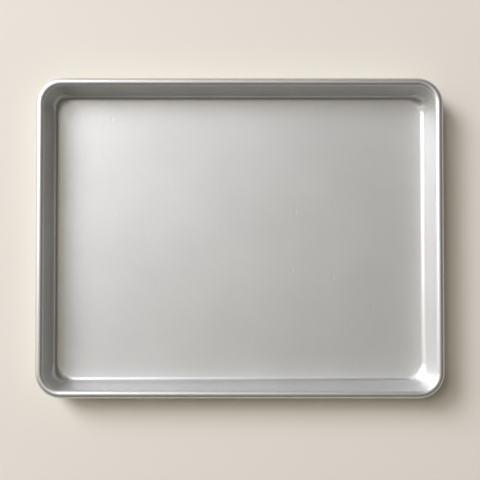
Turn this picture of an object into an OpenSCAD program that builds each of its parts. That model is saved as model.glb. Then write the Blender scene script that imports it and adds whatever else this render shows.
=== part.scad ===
// Jelly roll pan: one drawn aluminium sheet, its edge curled round a steel wire.
// Millimetres. +Z is up, +X runs along the long side, and the origin is at the
// centre of the underside, where the pan stands.

/* [Pan] */
// Length over the rim
pan_l = 406; // [300:1:460]
// Width over the rim
pan_w = 319; // [220:1:360]
// Height from the underside to the top of the rim
pan_h = 25; // [20:1:32]
// Outer radius of the corners in plan
corner_r = 26; // [24:1:40]

/* [Sheet] */
// Thickness of the aluminium sheet
sheet_t = 1; // [0.8:0.1:1.2]
// Lean of the walls from upright, in degrees
draft = 16; // [12:1:18]
// Inner radius between the floor and a straight wall
floor_r = 6; // [4.5:0.5:7]

/* [Corner blend] */
// How much larger the floor's corner radius is than in a plain corner
blend_extra = 7.6; // [6:0.2:8]
// Slope at which the corner blend leaves the floor, in degrees
blend_start = 10; // [8:1:12]
// Slope at which it meets the wall in the middle of the corner, in degrees
blend_meet = 60; // [56:1:62]

/* [Rim] */
// Diameter of the wire in the rim
wire_d = 6.6; // [5:0.2:7]
// Where the curled edge ends, in degrees round the wire from the outer side
curl_end = 220; // [215:1:225]
// Gap between the two ends of the wire
wire_gap = 1.5; // [1:0.5:4]

/* [Hidden] */
$fn = 96;
// How far the cutting shapes reach past what they cut
over = 2;
wire_r = wire_d / 2;
bead_r = wire_r + sheet_t;
// Centre of the bead, from the corner's axis outwards and from the underside up
bead_u = corner_r - bead_r;
bead_z = pan_h - bead_r;
// Axes of the outer corners, from the middle of the pan
axis_x = pan_l / 2 - corner_r;
axis_y = pan_w / 2 - corner_r;

// How far the straight faces run inside the rounds that they meet, so that
// each pair crosses and the sheet stays one piece
bite = 0.02;

// Distance of the wall's face at height z from the corner's axis, where the
// face passes a circle of radius r round the wire
function wall_u(r, z) = bead_u - (r - bite) / cos(draft) + (z - bead_z) * tan(draft);
// Point at distance r and angle a from the centre of the wire
function round_wire(r, a) = [bead_u + r * cos(a), bead_z + r * sin(a)];

// Centre of the radius between floor and wall, shared by both faces of the sheet
round_z = sheet_t + floor_r;
round_u = wall_u(bead_r, round_z) - floor_r / cos(draft);

// Axes of the corner blends, from the middle of the pan
soft_x = axis_x - blend_extra;
soft_y = axis_y - blend_extra;
// Space that keeps the blends clear of the straight sides
soft_gap = 0.2;
// Radius of the blend in section: the arc rises from the floor and reaches the
// wall on the corner's diagonal at the slope asked for
blend_run = blend_extra * (sqrt(2) - 1) - soft_gap
    + floor_r * (cos(draft) - (1 - sin(draft)) * tan(draft));
blend_r = blend_run
    / (sin(blend_meet) - sin(blend_start) - (cos(blend_start) - cos(blend_meet)) * tan(draft));
// Slope past which the blend has left the sheet, in degrees
blend_end = blend_meet + 8;
// Centre of the blend's section, shared by both faces of the sheet
soft_z = sheet_t + blend_r * cos(blend_start);
soft_u = round_u + blend_extra + soft_gap - blend_r * sin(blend_start);

// Sweeps a section round the outline: extruded along the four sides and turned
// round the four corners. In the section, x is the distance outwards from the
// corners' axes and y is the height.
module sweep() {
    for (side = [0:3]) {
        along = side % 2 == 0 ? axis_x : axis_y;
        across = side % 2 == 0 ? axis_y : axis_x;
        rotate([0, 0, 90 * side]) {
            translate([-along, across, 0])
                rotate([90, 0, 90])
                    linear_extrude(height = 2 * along)
                        children();
            translate([along, across, 0])
                rotate_extrude(angle = 90)
                    children();
        }
    }
}

// Fills the middle that a swept block leaves open, between two heights
module middle(low, high) {
    translate([-axis_x, -axis_y, low])
        cube([2 * axis_x, 2 * axis_y, high - low]);
}

// Section of a block with a flat bottom at height z, a leaning side that
// passes a circle of radius r round the wire, and a rounded lower edge
module block_section(r, z, round_r, top) {
    difference() {
        polygon([[0, z], [wall_u(r, z), z], [wall_u(r, top), top], [0, top]]);
        difference() {
            translate([round_u, z - over])
                square([round_r + over, over + round_r * (1 - sin(draft))]);
            translate([round_u, round_z])
                circle(r = round_r + bite);
        }
    }
}

// Section of the wire, or of the curled edge round it
module wire_section(r) {
    translate([bead_u, bead_z])
        circle(r = r);
}

// Section of the block with the curled edge: over the wire, down its outer side
// and under it, up to a slit beside the wall
module outside_section(top) {
    reach = 3 * bead_r;
    difference() {
        union() {
            block_section(wire_r, 0, floor_r + sheet_t, top);
            difference() {
                wire_section(bead_r);
                polygon([
                    [bead_u, bead_z],
                    round_wire(reach, 180 - draft),
                    round_wire(reach, curl_end)
                ]);
            }
        }
        wire_section(wire_r);
    }
}

// Section of the space outside a corner blend of radius r
module blend_section(r) {
    difference() {
        translate([soft_u, -over])
            square([2 * blend_r, over + soft_z - r * cos(blend_end)]);
        translate([soft_u, soft_z])
            circle(r = r);
    }
}

// The four places outside the corner blends of radius r
module blends(r) {
    for (side = [0:3]) {
        along = side % 2 == 0 ? soft_x : soft_y;
        across = side % 2 == 0 ? soft_y : soft_x;
        rotate([0, 0, 90 * side])
            translate([along, across, 0])
                rotate_extrude(angle = 90)
                    blend_section(r);
    }
}

// The pan as a full block, from the outer faces of the sheet inwards
module outside() {
    top = bead_z + bead_r * sin(draft);
    difference() {
        union() {
            sweep()
                outside_section(top);
            middle(0, top);
        }
        blends(blend_r + sheet_t);
    }
}

// The hollow of the pan, down to the inner faces of the sheet
module hollow() {
    top = pan_h + over;
    difference() {
        union() {
            sweep()
                block_section(bead_r, sheet_t, floor_r, top);
            middle(sheet_t, top);
        }
        blends(blend_r);
    }
}

module pan_body() {
    color("silver")
    difference() {
        outside();
        hollow();
    }
}

module rim_wire() {
    color("gray")
    difference() {
        sweep()
            wire_section(wire_r);
        translate([-wire_gap / 2, axis_y, 0])
            cube([wire_gap, corner_r + over, pan_h]);
    }
}

pan_body();
rim_wire();
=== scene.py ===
import math

import bpy
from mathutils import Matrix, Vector


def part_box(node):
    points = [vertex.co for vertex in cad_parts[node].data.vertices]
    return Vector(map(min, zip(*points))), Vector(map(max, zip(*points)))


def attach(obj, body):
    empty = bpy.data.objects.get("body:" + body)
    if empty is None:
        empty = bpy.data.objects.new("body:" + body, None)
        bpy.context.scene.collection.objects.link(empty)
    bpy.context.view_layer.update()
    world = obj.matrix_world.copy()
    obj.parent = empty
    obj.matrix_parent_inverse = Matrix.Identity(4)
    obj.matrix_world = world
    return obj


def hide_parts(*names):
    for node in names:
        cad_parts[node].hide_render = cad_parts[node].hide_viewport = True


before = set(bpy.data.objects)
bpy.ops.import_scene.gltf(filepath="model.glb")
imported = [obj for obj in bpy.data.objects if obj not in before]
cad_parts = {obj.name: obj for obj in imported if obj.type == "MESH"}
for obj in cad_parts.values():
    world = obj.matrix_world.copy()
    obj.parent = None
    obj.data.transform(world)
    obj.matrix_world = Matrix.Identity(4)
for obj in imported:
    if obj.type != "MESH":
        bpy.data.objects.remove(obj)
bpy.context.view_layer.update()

# A sheet pan with a wired rim on a pale table, seen from above. The sheet is
# swept round the pan as one closed mesh, and the wire is the CAD's own.
# Lengths are in metres and angles in radians unless a comment says otherwise.
MM = 0.001

# Sizes of the pan, the same as those of the solids
SHEET = 1.0 * MM
WIRE_R = 3.3 * MM
BEAD_R = WIRE_R + SHEET
DRAFT = math.radians(16)
FLOOR_R = 6 * MM
CORNER_R = 26 * MM

# The wider round at the foot of a corner: how much further in its axis lies,
# and its slopes where it leaves the floor and where it meets the wall
BLEND_EXTRA = 7.6 * MM
BLEND_START = math.radians(10)
BLEND_MEET = math.radians(60)

# Where the curl ends, as an angle round the wire: 0 is outwards, 90 degrees up
CURL_END = math.radians(220)

# The cut edge of the curl: the size of its rounding, how far back the middle of
# the rounding stands as a share of that, how far outside the wire it stands on
# the inner side, and the gap between the sheet and the wire
EDGE_ROUND = 0.2 * MM
EDGE_MIDDLE = 0.3
INNER_EDGE_MIDDLE = 0.05 * MM
WIRE_GAP = 0.02 * MM

# Top of the rim and axes of the outer corners, and the middle of the rim's
# bead: how far outwards from those axes, and how high
pan_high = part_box("pan_body")[1]
PAN_TOP = pan_high[2]
AXIS_X = pan_high[0] - CORNER_R
AXIS_Y = pan_high[1] - CORNER_R
BEAD_U = CORNER_R - BEAD_R
BEAD_Z = PAN_TOP - BEAD_R

# How finely the sheet is divided: steps round a corner, length of a step along
# the sides, the stretch next to a corner with its own steps, and the steps
# along the foot, the wall and the curl
CORNER_STEPS = 30
SIDE_STEP = 12 * MM
TIP_LENGTH = 1.2 * BLEND_EXTRA
TIP_STEPS = 10
ROUND_STEPS = 12
WALL_STEPS = 7
CURL_STEPS = 44

# Length of the first and last step up a wall, as a share of an even step
END_STEP = 0.25

# Decimals kept of places along the sides, and of vertices
PLACE_DECIMALS = 6
VERTEX_DECIMALS = 7


def wall_u(z):
    """Distance of the wall's inner face from the corner's axis at height z."""
    return BEAD_U - BEAD_R / math.cos(DRAFT) + (z - BEAD_Z) * math.tan(DRAFT)


# Where the round between floor and wall starts on the sides
SIDE_START = wall_u(SHEET + FLOOR_R) - FLOOR_R / math.cos(DRAFT)
# Radius in plan of the floor's corners, round axes set further in
FLOOR_CORNER_R = SIDE_START + BLEND_EXTRA


def floor_start(offset, angle):
    """Distance outwards, from the corner's axis, at which the floor ends.

    offset is how far the section lies along the side from the corner's axis,
    zero or less, and angle is the direction of the section in the corner.
    """
    along = BLEND_EXTRA + offset
    if along <= 0:
        return SIDE_START
    if angle == 0:
        reach = math.sqrt(max(FLOOR_CORNER_R ** 2 - along ** 2, 0)) - BLEND_EXTRA
        return min(SIDE_START, reach)
    lean = BLEND_EXTRA * (math.cos(angle) + math.sin(angle))
    rest = FLOOR_CORNER_R ** 2 - 2 * BLEND_EXTRA ** 2
    return min(SIDE_START, math.sqrt(lean ** 2 + rest) - lean)


# The same on a corner's diagonal, where the round reaches furthest in
DEEPEST_START = floor_start(0, math.pi / 4)


def foot_arc(start):
    """Radius, first slope and last slope of the arc between floor and wall."""
    share = (SIDE_START - start) / (SIDE_START - DEEPEST_START)
    wall_slope = math.pi / 2 - DRAFT
    first = BLEND_START * share
    last = wall_slope + (BLEND_MEET - wall_slope) * share
    run = wall_u(SHEET) - start
    rise = math.cos(first) - math.cos(last)
    radius = run / (math.sin(last) - math.sin(first) - math.tan(DRAFT) * rise)
    return radius, first, last


def spaced(count):
    """Numbers from 0 to 1 in count steps, with short steps at both ends."""
    short = END_STEP / count
    inner = [short + (1 - 2 * short) * i / (count - 2) for i in range(count - 1)]
    return [0.0] + inner + [1.0]


def line(start, end, shares):
    """Points of a straight line in section, at shares of its length."""
    return [(start[0] + (end[0] - start[0]) * s, start[1] + (end[1] - start[1]) * s)
            for s in shares]


def bead(radius, angle):
    """Point in section at a distance from the wire's middle and an angle round it."""
    return (BEAD_U + radius * math.cos(angle), BEAD_Z + radius * math.sin(angle))


def section(start):
    """Outline of the sheet as (outwards, up), from inner floor to underside."""
    radius, first, last = foot_arc(start)
    centre_u = start - radius * math.sin(first)
    centre_z = SHEET + radius * math.cos(first)

    def foot(r):
        slopes = [first + (last - first) * i / ROUND_STEPS for i in range(ROUND_STEPS + 1)]
        return [(centre_u + r * math.sin(a), centre_z - r * math.cos(a)) for a in slopes]

    inner_foot = foot(radius)
    outer_foot = foot(radius + SHEET)
    # In a corner the outer arc starts above the underside and is brought down
    low_u, lift = outer_foot[0]
    outer_foot[0] = (low_u + lift * math.sin(first), 0.0)

    # Angles round the wire at which the curl leaves the wall and at which it ends
    touch = math.pi - DRAFT
    end = CURL_END - 2 * math.pi
    turns = [touch - (touch - end) * i / CURL_STEPS for i in range(CURL_STEPS)]
    back = EDGE_ROUND / BEAD_R

    inner_wall = line(inner_foot[-1], bead(BEAD_R, touch), spaced(WALL_STEPS))[1:]
    outer_curl = [bead(BEAD_R, a) for a in turns[1:]]
    cut_edge = [
        bead(BEAD_R, end + back),
        bead(BEAD_R - EDGE_MIDDLE * EDGE_ROUND, end + EDGE_MIDDLE * back),
        bead(BEAD_R - EDGE_ROUND, end),
        bead(WIRE_R + EDGE_ROUND, end),
        bead(WIRE_R + INNER_EDGE_MIDDLE, end + EDGE_MIDDLE * back),
    ]
    inner_curl = [bead(WIRE_R + WIRE_GAP, a) for a in reversed(turns)]
    outer_wall = line(bead(WIRE_R, touch), outer_foot[-1], spaced(WALL_STEPS))[1:]
    rest_of_foot = list(reversed(outer_foot[:-1]))
    return inner_foot + inner_wall + outer_curl + cut_edge + inner_curl + outer_wall + rest_of_foot


def side_places(half):
    """Places along a side, closer together where the corner's round runs out.

    They are whole micrometres, so that the sides and the floor share vertices.
    """
    tip = half - TIP_LENGTH
    steps = max(2, round(2 * tip / SIDE_STEP))
    middle = [-tip + 2 * tip * i / steps for i in range(steps + 1)]
    ends = [tip + (half - tip) * i / TIP_STEPS for i in range(1, TIP_STEPS)]
    places = [-e for e in reversed(ends)] + middle + ends
    return [round(p, PLACE_DECIMALS) for p in places]


def stations():
    """Origin, direction and floor's end of each section, anticlockwise from +X."""
    found = []
    for side in range(4):
        across, half = (AXIS_X, AXIS_Y) if side % 2 == 0 else (AXIS_Y, AXIS_X)
        facing = side * math.pi / 2
        out = Vector((math.cos(facing), math.sin(facing)))
        left = Vector((-out.y, out.x))
        for place in side_places(half):
            origin = out * across + left * place
            found.append((origin, out, floor_start(abs(place) - half, 0)))
        corner = out * across + left * half
        for i in range(CORNER_STEPS + 1):
            turn = math.pi / 2 * i / CORNER_STEPS
            direction = out * math.cos(turn) + left * math.sin(turn)
            from_side = min(turn, math.pi / 2 - turn)
            found.append((corner, direction, floor_start(0, from_side)))
    return found


def build_sheet():
    """The whole sheet as one closed mesh: swept edge, floor and underside."""
    vertices = []
    index = {}
    faces = []

    def vertex(x, y, z):
        key = tuple(round(value, VERTEX_DECIMALS) for value in (x, y, z))
        if key not in index:
            index[key] = len(vertices)
            vertices.append(key)
        return index[key]

    def face(*corners):
        # Corners that fall together count once
        kept = [c for i, c in enumerate(corners) if c != corners[i - 1]]
        if len(kept) > 2:
            faces.append(kept)

    rings = []
    for origin, direction, start in stations():
        outline = [(0.0, SHEET)] + section(start) + [(0.0, 0.0)]
        rings.append([
            vertex(origin.x + direction.x * u, origin.y + direction.y * u, z) for u, z in outline
        ])
    for ring, following in zip(rings, rings[1:] + rings[:1]):
        for i in range(len(ring) - 1):
            face(ring[i], ring[i + 1], following[i + 1], following[i])

    xs = [-AXIS_X] + side_places(AXIS_X) + [AXIS_X]
    ys = [-AXIS_Y] + side_places(AXIS_Y) + [AXIS_Y]
    for x0, x1 in zip(xs, xs[1:]):
        for y0, y1 in zip(ys, ys[1:]):
            floor = ((x0, y0), (x1, y0), (x1, y1), (x0, y1))
            underside = ((x0, y0), (x0, y1), (x1, y1), (x1, y0))
            face(*(vertex(x, y, SHEET) for x, y in floor))
            face(*(vertex(x, y, 0.0) for x, y in underside))

    mesh = bpy.data.meshes.new("pan_sheet")
    mesh.from_pydata(vertices, [], faces)
    mesh.validate()
    mesh.shade_smooth()
    piece = bpy.data.objects.new("pan_sheet", mesh)
    bpy.context.collection.objects.link(piece)
    return piece


def node_setter(tree):
    """A function that adds a node, its settings and its inputs to a node tree."""
    def add(kind, inputs=None, **settings):
        node = tree.nodes.new(kind)
        for name, value in settings.items():
            setattr(node, name, value)
        for socket, value in (inputs or {}).items():
            if isinstance(value, bpy.types.NodeSocket):
                tree.links.new(value, node.inputs[socket])
            else:
                node.inputs[socket].default_value = value
        return node
    return add


def new_material(name):
    """An empty node material and the function that adds nodes to it."""
    material = bpy.data.materials.new(name)
    material.use_nodes = True
    material.node_tree.nodes.clear()
    return material, node_setter(material.node_tree)


def remapped(add, value, before, after=(0.0, 1.0), **settings):
    """The value with its range before carried over to the range after."""
    inputs = {"Value": value, "From Min": before[0], "From Max": before[1],
              "To Min": after[0], "To Max": after[1]}
    return add("ShaderNodeMapRange", inputs, **settings).outputs[0]


# Roughness of the sheet at heights in millimetres: the floor, the drawn foot
# rubbed by the punch, the wall and the curled rim
ROUGHNESS = ((1.02, 0.64), (1.3, 0.47), (6.0, 0.47), (8.5, 0.50), (18.0, 0.50), (21.0, 0.50))

# Where most values of a noise lie
NOISE_RANGE = (0.3, 0.7)

# Grain of the rolled sheet, long in X and fine across, in repeats per metre
GRAIN_SCALE = (60, 1400, 1400)
GRAIN_STRENGTH = 0.04
GRAIN_DEPTH = 0.2 * MM

# Faint clouds between two tones, and flecks that vary the roughness
CLOUD_SCALE = 14.0
DARK_TONE = (0.735, 0.733, 0.728, 1)
LIGHT_TONE = (0.775, 0.773, 0.768, 1)
FLECK_SCALE = 420.0
FLECK_ROUGHNESS = 0.03

# Nicks where the middle of a cell happens to lie in the surface: cells per
# metre, half as many along Y so that the nicks are longer, and the distances
# from the middle, in cells, between which the dent rises to the surface
NICK_SCALE = 60.0
NICK_SHAPE = (1.0, 0.5, 1.0)
NICK_RANGE = (0.02, 0.11)
NICK_DEPTH = 0.08 * MM


def sheet_roughness(add, where):
    """Roughness by height, with flecks."""
    height = add("ShaderNodeSeparateXYZ", {"Vector": where}).outputs["Z"]
    ramp = add("ShaderNodeValToRGB", {"Fac": remapped(add, height, (0.0, PAN_TOP))})
    stops = ramp.color_ramp.elements
    while len(stops) < len(ROUGHNESS):
        stops.new(1.0)
    for stop, (millimetres, value) in zip(stops, ROUGHNESS):
        stop.position = millimetres * MM / PAN_TOP
        stop.color = (value, value, value, 1)
    noise = add("ShaderNodeTexNoise", {"Vector": where, "Scale": FLECK_SCALE, "Detail": 2.0})
    flecks = remapped(add, noise.outputs["Fac"], NOISE_RANGE, (-FLECK_ROUGHNESS, FLECK_ROUGHNESS))
    return add("ShaderNodeMath", {0: ramp.outputs[0], 1: flecks}, operation="ADD").outputs[0]


def sheet_relief(add, where):
    """Normals of the rolled grain with a few nicks in it."""
    grain_place = add("ShaderNodeMapping", {"Vector": where, "Scale": GRAIN_SCALE})
    grain = add("ShaderNodeTexNoise", {
        "Vector": grain_place.outputs[0],
        "Scale": 1.0,
        "Detail": 3.0,
    })
    rolled = add("ShaderNodeBump", {
        "Height": grain.outputs["Fac"],
        "Strength": GRAIN_STRENGTH,
        "Distance": GRAIN_DEPTH,
    })
    nick_place = add("ShaderNodeMapping", {"Vector": where, "Scale": NICK_SHAPE})
    cells = add("ShaderNodeTexVoronoi", {"Vector": nick_place.outputs[0], "Scale": NICK_SCALE})
    nicks = remapped(add, cells.outputs["Distance"], NICK_RANGE, interpolation_type="SMOOTHSTEP")
    nicked = add("ShaderNodeBump", {
        "Height": nicks,
        "Normal": rolled.outputs[0],
        "Strength": 1.0,
        "Distance": NICK_DEPTH,
    })
    return nicked.outputs[0]


def satin_aluminium():
    """Rolled sheet: fine grain along X, faint clouding and a few tiny nicks."""
    material, add = new_material("satin_aluminium")
    where = add("ShaderNodeTexCoord").outputs["Object"]
    clouds = add("ShaderNodeTexNoise", {"Vector": where, "Scale": CLOUD_SCALE, "Detail": 4.0})
    tone = remapped(add, clouds.outputs["Fac"], NOISE_RANGE)
    colour = add("ShaderNodeMix", {"Factor": tone, "A": DARK_TONE, "B": LIGHT_TONE},
                 data_type="RGBA")
    shader = add("ShaderNodeBsdfPrincipled", {
        "Base Color": colour.outputs["Result"],
        "Metallic": 1.0,
        "Roughness": sheet_roughness(add, where),
        "Normal": sheet_relief(add, where),
    })
    add("ShaderNodeOutputMaterial", {"Surface": shader.outputs[0]})
    return material


# Zinc coating of the wire: crystals per metre, and the grey and the roughness
# at a crystal's middle and a crystal's width away from it
CRYSTAL_SCALE = 260.0
ZINC_GREY = (0.45, 0.6)
ZINC_ROUGHNESS = (0.35, 0.55)


def galvanised_wire():
    """Zinc-coated steel with faint crystals."""
    material, add = new_material("galvanised_wire")
    where = add("ShaderNodeTexCoord").outputs["Object"]
    crystals = add("ShaderNodeTexVoronoi", {"Vector": where, "Scale": CRYSTAL_SCALE})
    from_middle = crystals.outputs["Distance"]
    grey = remapped(add, from_middle, (0.0, 1.0), ZINC_GREY)
    colour = add("ShaderNodeCombineColor", {"Red": grey, "Green": grey, "Blue": grey})
    shader = add("ShaderNodeBsdfPrincipled", {
        "Base Color": colour.outputs[0],
        "Metallic": 1.0,
        "Roughness": remapped(add, from_middle, (0.0, 1.0), ZINC_ROUGHNESS),
    })
    add("ShaderNodeOutputMaterial", {"Surface": shader.outputs[0]})
    return material


# The table is a disc a hair below the pan, which fades out between two
# distances from its middle
TABLE_RADIUS = 4.0
TABLE_SIDES = 96
TABLE_LEVEL = -0.1 * MM
TABLE_FADE = (0.8, 3.6)
TABLE_COLOUR = (0.935, 0.88, 0.79, 1)
TABLE_ROUGHNESS = 0.9
TABLE_SPECULAR = 0.1


def tabletop():
    """Pale, warm, matt surface under the pan, which fades into the room far out."""
    material, add = new_material("tabletop")
    shader = add("ShaderNodeBsdfPrincipled", {
        "Base Color": TABLE_COLOUR,
        "Roughness": TABLE_ROUGHNESS,
        "Specular IOR Level": TABLE_SPECULAR,
    })
    where = add("ShaderNodeTexCoord").outputs["Object"]
    distance = add("ShaderNodeVectorMath", {0: where}, operation="LENGTH").outputs["Value"]
    fade = remapped(add, distance, TABLE_FADE, interpolation_type="SMOOTHSTEP")
    nothing = add("ShaderNodeBsdfTransparent")
    mixed = add("ShaderNodeMixShader", {0: fade, 1: shader.outputs[0], 2: nothing.outputs[0]})
    add("ShaderNodeOutputMaterial", {"Surface": mixed.outputs[0]})
    return material


def add_table():
    """The table under the pan, which is no part of it."""
    mesh = bpy.data.meshes.new("table")
    turns = [2 * math.pi * i / TABLE_SIDES for i in range(TABLE_SIDES)]
    edge = [(TABLE_RADIUS * math.cos(a), TABLE_RADIUS * math.sin(a), TABLE_LEVEL) for a in turns]
    mesh.from_pydata(edge, [], [range(TABLE_SIDES)])
    mesh.materials.append(tabletop())
    table = bpy.data.objects.new("table", mesh)
    bpy.context.collection.objects.link(table)


# Light of the room. The light from overhead falls off as a power of the sine
# of the height. A pale band along the horizon fades out between two such sines.
ZENITH_LIGHT = (0.63, 0.59, 0.48)
ZENITH_FALL = 10.0
HORIZON_LIGHT = (0.664, 0.632, 0.56)
HORIZON_FADE = (0.12, 0.35)


def add_world():
    """Soft light of a pale room."""
    world = bpy.data.worlds.new("studio")
    bpy.context.scene.world = world
    world.use_nodes = True
    world.node_tree.nodes.clear()
    add = node_setter(world.node_tree)

    def scaled(light, factor):
        return add("ShaderNodeVectorMath", {0: light, "Scale": factor}, operation="SCALE").outputs[0]

    direction = add("ShaderNodeTexCoord").outputs["Generated"]
    rise = add("ShaderNodeSeparateXYZ", {"Vector": direction}).outputs["Z"]
    upwards = add("ShaderNodeClamp", {"Value": rise}).outputs[0]
    zenith = add("ShaderNodeMath", {0: upwards, 1: ZENITH_FALL}, operation="POWER").outputs[0]
    horizon = remapped(add, rise, HORIZON_FADE, (1.0, 0.0), interpolation_type="SMOOTHSTEP")
    light = add("ShaderNodeVectorMath", {
        0: scaled(ZENITH_LIGHT, zenith),
        1: scaled(HORIZON_LIGHT, horizon),
    }, operation="ADD")
    background = add("ShaderNodeBackground", {"Color": light.outputs[0], "Strength": 1.0})
    add("ShaderNodeOutputWorld", {"Surface": background.outputs[0]})


# The lamps, at the upper left of the photograph as seen from the pan:
# direction, half of the angle that the lamp fills, radiance and colour
LAMP_DISTANCE = 5.0
LAMPS = {
    "key": (Vector((-0.662, 0.530, 0.530)), math.radians(14), 14.0, (0.885, 0.92, 1.0)),
    "side": (Vector((-0.846, 0.059, 0.530)), math.radians(14), 1.8, (1.0, 0.93, 0.80)),
    "high": (Vector((-0.425, 0.340, 0.840)), math.radians(12), 5.4, (1.0, 0.963, 0.935)),
}


def add_lamp(name, direction, half_angle, radiance, colour):
    """Round lamp that faces the pan. Its power is radiance times pi times area."""
    radius = LAMP_DISTANCE * math.tan(half_angle)
    area = math.pi * radius ** 2
    lamp = bpy.data.lights.new(name, "AREA")
    lamp.shape = "DISK"
    lamp.size = 2 * radius
    lamp.energy = radiance * math.pi * area
    lamp.color = colour
    light = bpy.data.objects.new(name, lamp)
    light.location = direction.normalized() * LAMP_DISTANCE
    light.rotation_euler = direction.to_track_quat("Z", "Y").to_euler()
    light.visible_camera = False
    bpy.context.collection.objects.link(light)


# The photograph's frame in its own pixels: its width, the pan's middle in it
# and the pan's length at the rim
PHOTO_PX = 480
PAN_MIDDLE_PX = (239.75, 237.5)
PAN_LENGTH_PX = 407.9

# The camera's distance from the rim, its tilt, and how far it stood from the
# pan's middle, towards the bottom of the photograph, on top of that tilt
CAMERA_DISTANCE = 0.72
CAMERA_TILT = math.radians(1.2)
CAMERA_OFFSET = 22 * MM
SENSOR_WIDTH_MM = 36


def add_camera():
    """Camera above the pan, set off from its middle, with the frame shifted back."""
    pixel = 2 * pan_high[0] / PAN_LENGTH_PX
    frame_width = PHOTO_PX * pixel
    aim_x = (PHOTO_PX / 2 - PAN_MIDDLE_PX[0]) * pixel
    aim_y = (PAN_MIDDLE_PX[1] - PHOTO_PX / 2) * pixel
    aim = Vector((aim_x, aim_y, BEAD_Z))
    back = Vector((0, -math.sin(CAMERA_TILT), math.cos(CAMERA_TILT)))
    data = bpy.data.cameras.new("camera")
    data.sensor_width = SENSOR_WIDTH_MM
    data.lens = SENSOR_WIDTH_MM * CAMERA_DISTANCE / frame_width
    data.shift_y = CAMERA_OFFSET / frame_width
    camera = bpy.data.objects.new("camera", data)
    camera.location = aim + back * CAMERA_DISTANCE - Vector((0, CAMERA_OFFSET, 0))
    camera.rotation_euler = back.to_track_quat("Z", "Y").to_euler()
    bpy.context.collection.objects.link(camera)
    bpy.context.scene.camera = camera


add_camera()
add_world()
for lamp_name, settings in LAMPS.items():
    add_lamp(lamp_name, *settings)
add_table()
bpy.context.scene.view_settings.view_transform = "Standard"

sheet = build_sheet()
sheet.data.materials.append(satin_aluminium())
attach(sheet, "root")
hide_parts("pan_body")

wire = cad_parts["rim_wire"]
zinc = galvanised_wire()
for slot in wire.material_slots:
    slot.material = zinc
